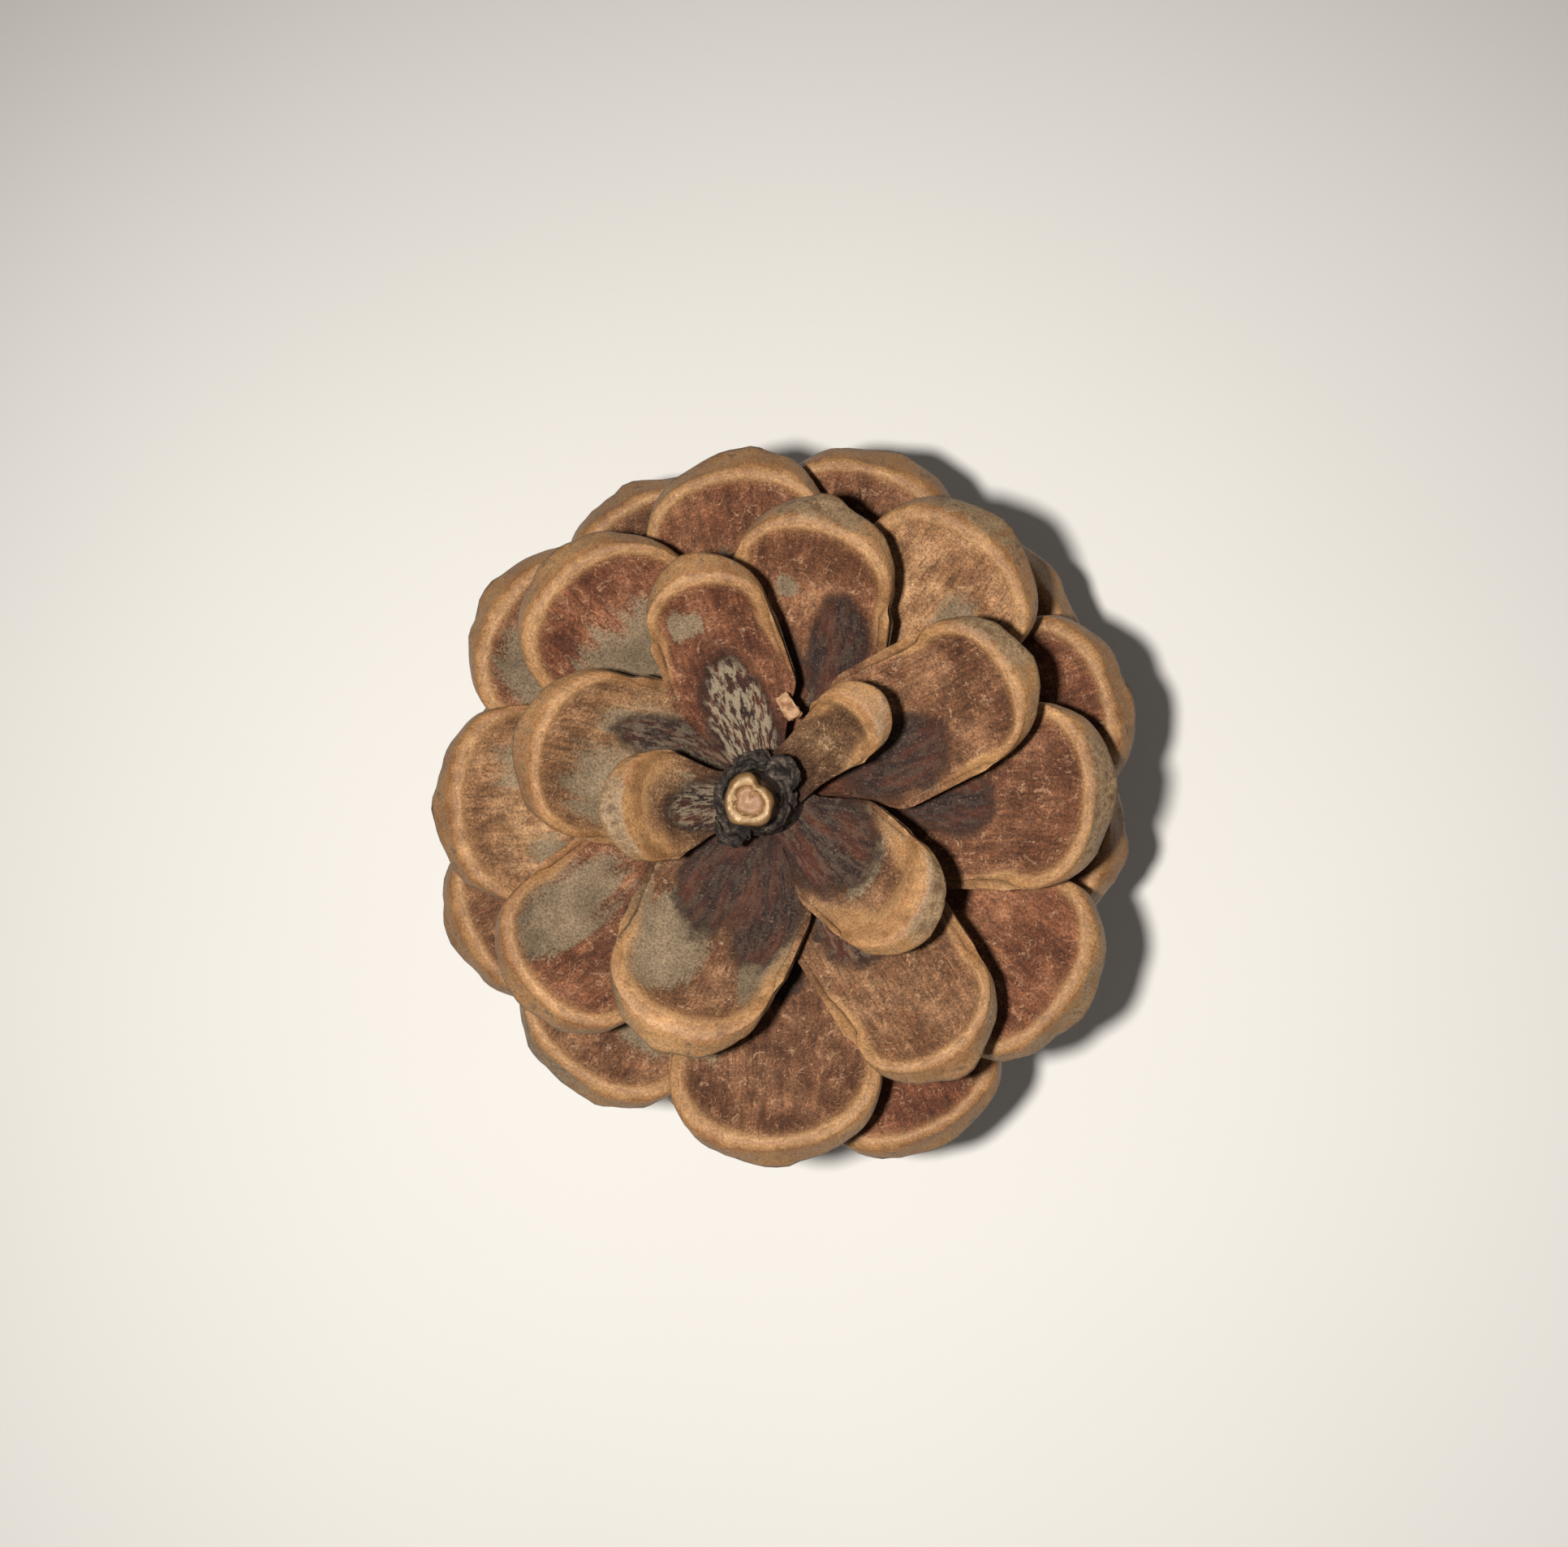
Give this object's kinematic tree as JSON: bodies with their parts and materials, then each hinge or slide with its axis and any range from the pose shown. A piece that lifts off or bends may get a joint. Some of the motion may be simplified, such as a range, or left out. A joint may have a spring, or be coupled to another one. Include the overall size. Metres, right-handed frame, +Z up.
{
  "type": "open pine cone",
  "caption": "Open woody pine cone with spiral rows of thick-rimmed scales round its axis, standing upright on its lowest scales.",
  "frame": {"origin": "on the resting surface, under the middle of the cone's box", "axes": "+Z up the cone's axis to its tip; +Y to the top edge of the picture, which looks down on the cone"},
  "size_m": [0.0484, 0.0496, 0.0426],
  "materials": {
    "scale_wood": "matte"
  },
  "bodies": {
    "root": {"pine_cone": "scale_wood"}
  },
  "joints": []
}
